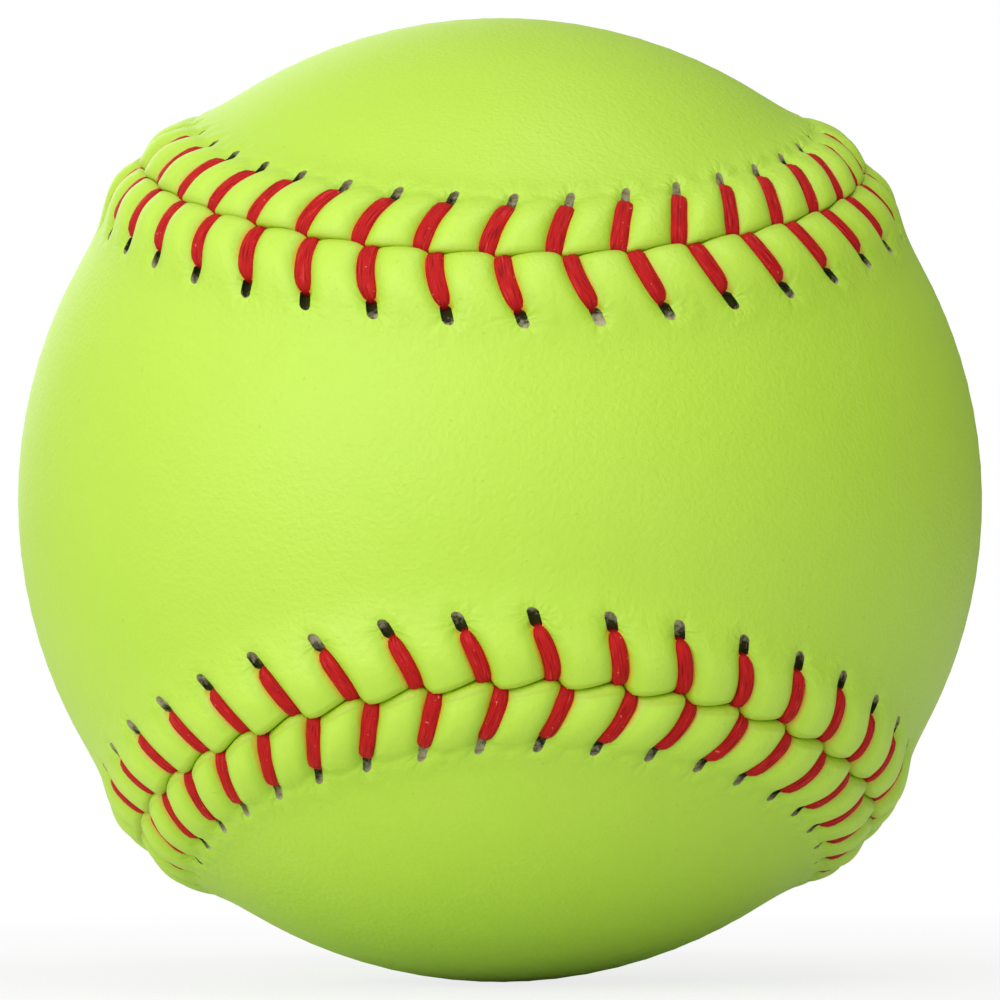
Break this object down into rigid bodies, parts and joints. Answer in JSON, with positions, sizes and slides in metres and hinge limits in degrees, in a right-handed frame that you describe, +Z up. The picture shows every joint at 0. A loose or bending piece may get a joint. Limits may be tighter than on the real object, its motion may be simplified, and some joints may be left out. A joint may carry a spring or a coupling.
{
  "type": "softball",
  "caption": "Round softball with a moulded core and two figure-eight cover panels sewn edge to edge along a raised seam.",
  "frame": {"origin": "centre of the ball", "axes": "+Z up as in the picture, -Y towards the viewer through the waist of the front panel, +X to the viewer's right"},
  "size_m": [0.097, 0.097, 0.097],
  "materials": {
    "core_foam": "closed-cell polyurethane foam, moulded skin",
    "cement": "dried contact cement",
    "backing_cloth": "off-white needled backing",
    "cover_skin": "optic yellow, fine pebble grain, satin",
    "seam_thread": "red doubled cotton thread"
  },
  "bodies": {
    "root": {"core": "core_foam", "cement_film": "cement", "front_backing": "backing_cloth", "back_backing": "backing_cloth", "front_skin": "cover_skin", "back_skin": "cover_skin", "first_thread": "seam_thread", "second_thread": "seam_thread"}
  },
  "joints": []
}
